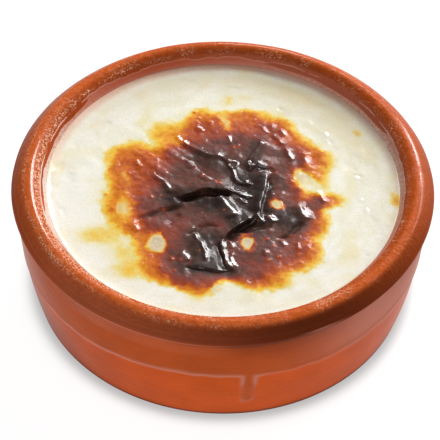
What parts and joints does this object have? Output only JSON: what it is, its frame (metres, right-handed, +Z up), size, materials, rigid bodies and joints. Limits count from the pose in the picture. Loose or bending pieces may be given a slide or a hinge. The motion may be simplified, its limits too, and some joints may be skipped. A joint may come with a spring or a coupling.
{
  "type": "baked rice pudding in a round clay dish",
  "caption": "Baked rice pudding with a browned, wrinkled and partly scorched milk skin, in the round glazed clay dish it was baked in.",
  "frame": {"origin": "centre of the dish's flat base, on the surface it stands on", "axes": "+Z up through the middle of the dish; -Y is the front, the side that the picture was taken from; +X is the picture's right"},
  "size_m": [0.12, 0.12, 0.0408],
  "materials": {
    "glazed_clay": "gloss",
    "milk_skin": "satin"
  },
  "bodies": {
    "root": {"dish": "glazed_clay", "pudding": "milk_skin"}
  },
  "joints": []
}
